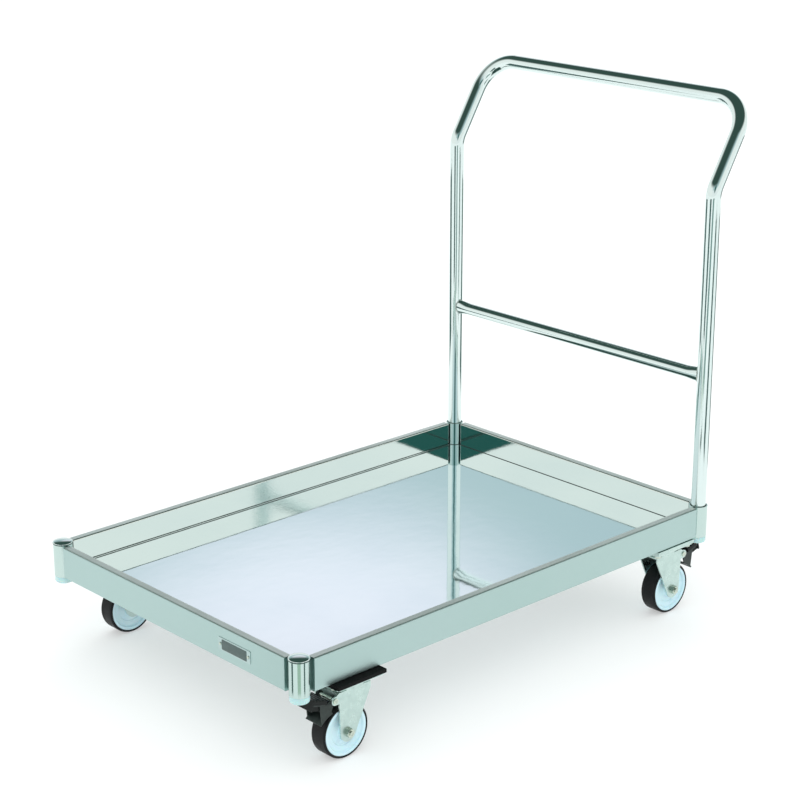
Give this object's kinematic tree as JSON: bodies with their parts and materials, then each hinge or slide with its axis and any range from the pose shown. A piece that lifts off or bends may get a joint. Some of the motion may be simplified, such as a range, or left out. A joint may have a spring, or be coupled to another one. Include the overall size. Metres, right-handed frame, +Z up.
{
  "type": "hotel luggage cart",
  "caption": "Low stainless tray trolley for luggage: sunk polished deck in a box rim, round corner posts, raked tube handle with crossbar, swivel plate casters with stoppers.",
  "frame": {"origin": "centre of the outline on the floor plane", "axes": "+Z up, +X towards the handle end along the long side, +Y across the trolley"},
  "size_m": [1.0146, 0.652, 0.8882],
  "materials": {
    "mirror_steel": "mirror polished stainless sheet",
    "satin_steel": "bright satin stainless, folded",
    "post_steel": "polished stainless tube",
    "handle_chrome": "polished stainless tube",
    "frame_steel": "plain stainless sheet",
    "zinc_steel": "zinc plated pressings",
    "fastener_steel": "zinc plated fasteners",
    "label_metal": "satin label plate, blank",
    "cap_plastic": "dark moulded plastic",
    "plug_plastic": "pale translucent plastic",
    "black_plastic": "black liner plastic",
    "pad_rubber": "black rubber pad",
    "pedal_rubber": "black moulded pedal",
    "wheel_plastic": "pale moulded wheel centre",
    "tyre_rubber": "black rubber tread"
  },
  "bodies": {
    "trolley": {"deck_plate": "mirror_steel", "rim_front": "satin_steel", "rim_rear": "satin_steel", "rim_left": "satin_steel", "rim_right": "satin_steel", "post_front_left": "post_steel", "post_front_right": "post_steel", "post_rear_left": "post_steel", "post_rear_right": "post_steel", "post_caps": "cap_plastic", "foot_plugs": "plug_plastic", "corner_webs": "frame_steel", "cross_member_front": "frame_steel", "cross_member_rear": "frame_steel", "deck_stringers": "frame_steel", "label_plate": "label_metal", "label_rivets": "fastener_steel", "handle_hoop": "handle_chrome", "handle_crossbar": "handle_chrome", "handle_sleeves": "black_plastic", "handle_lock_screws": "fastener_steel", "front_caster_pads": "pad_rubber", "rear_caster_pads": "zinc_steel", "caster_top_plates": "zinc_steel", "king_pins": "fastener_steel", "swivel_balls": "fastener_steel", "mount_bolts": "fastener_steel", "mount_nuts": "fastener_steel"},
    "swivel_front_left": {"fork_front_left": "zinc_steel", "axle_bolt_front_left": "fastener_steel", "axle_nut_front_left": "fastener_steel", "axle_sleeve_front_left": "fastener_steel", "brake_pin_front_left": "fastener_steel"},
    "wheel_front_left": {"wheel_core_front_left": "wheel_plastic", "tyre_front_left": "tyre_rubber"},
    "swivel_front_right": {"fork_front_right": "zinc_steel", "axle_bolt_front_right": "fastener_steel", "axle_nut_front_right": "fastener_steel", "axle_sleeve_front_right": "fastener_steel"},
    "wheel_front_right": {"wheel_core_front_right": "wheel_plastic", "tyre_front_right": "tyre_rubber"},
    "swivel_rear_left": {"fork_rear_left": "zinc_steel", "axle_bolt_rear_left": "fastener_steel", "axle_nut_rear_left": "fastener_steel", "axle_sleeve_rear_left": "fastener_steel", "brake_pin_rear_left": "fastener_steel"},
    "wheel_rear_left": {"wheel_core_rear_left": "wheel_plastic", "tyre_rear_left": "tyre_rubber"},
    "swivel_rear_right": {"fork_rear_right": "zinc_steel", "axle_bolt_rear_right": "fastener_steel", "axle_nut_rear_right": "fastener_steel", "axle_sleeve_rear_right": "fastener_steel"},
    "wheel_rear_right": {"wheel_core_rear_right": "wheel_plastic", "tyre_rear_right": "tyre_rubber"},
    "brake_front_left": {"brake_lever_front_left": "zinc_steel", "brake_pedal_front_left": "pedal_rubber"},
    "brake_rear_left": {"brake_lever_rear_left": "zinc_steel", "brake_pedal_rear_left": "pedal_rubber"}
  },
  "joints": [
    {"name": "swivel_turn_front_left", "type": "hinge", "parent": "trolley", "child": "swivel_front_left", "pos_m": [-0.39084, -0.29, 0.1135], "axis": [0, 0, 1], "continuous": true},
    {"name": "wheel_roll_front_left", "type": "hinge", "parent": "swivel_front_left", "child": "wheel_front_left", "pos_m": [-0.40584, -0.29, 0.044], "axis": [0, 1, 0], "continuous": true},
    {"name": "swivel_turn_front_right", "type": "hinge", "parent": "trolley", "child": "swivel_front_right", "pos_m": [-0.39084, 0.29, 0.1135], "axis": [0, 0, 1], "continuous": true},
    {"name": "wheel_roll_front_right", "type": "hinge", "parent": "swivel_front_right", "child": "wheel_front_right", "pos_m": [-0.37584, 0.29, 0.044], "axis": [0, 1, 0], "continuous": true},
    {"name": "swivel_turn_rear_left", "type": "hinge", "parent": "trolley", "child": "swivel_rear_left", "pos_m": [0.33816, -0.278, 0.1135], "axis": [0, 0, 1], "continuous": true},
    {"name": "wheel_roll_rear_left", "type": "hinge", "parent": "swivel_rear_left", "child": "wheel_rear_left", "pos_m": [0.35316, -0.278, 0.044], "axis": [0, 1, 0], "continuous": true},
    {"name": "swivel_turn_rear_right", "type": "hinge", "parent": "trolley", "child": "swivel_rear_right", "pos_m": [0.33816, 0.278, 0.1135], "axis": [0, 0, 1], "continuous": true},
    {"name": "wheel_roll_rear_right", "type": "hinge", "parent": "swivel_rear_right", "child": "wheel_rear_right", "pos_m": [0.35316, 0.278, 0.044], "axis": [0, 1, 0], "continuous": true},
    {"name": "brake_press_front_left", "type": "hinge", "parent": "swivel_front_left", "child": "brake_front_left", "pos_m": [-0.43084, -0.29, 0.103], "axis": [0, -1, 0], "range_deg": [0, 16]},
    {"name": "brake_press_rear_left", "type": "hinge", "parent": "swivel_rear_left", "child": "brake_rear_left", "pos_m": [0.37816, -0.278, 0.103], "axis": [0, 1, 0], "range_deg": [0, 16]}
  ]
}
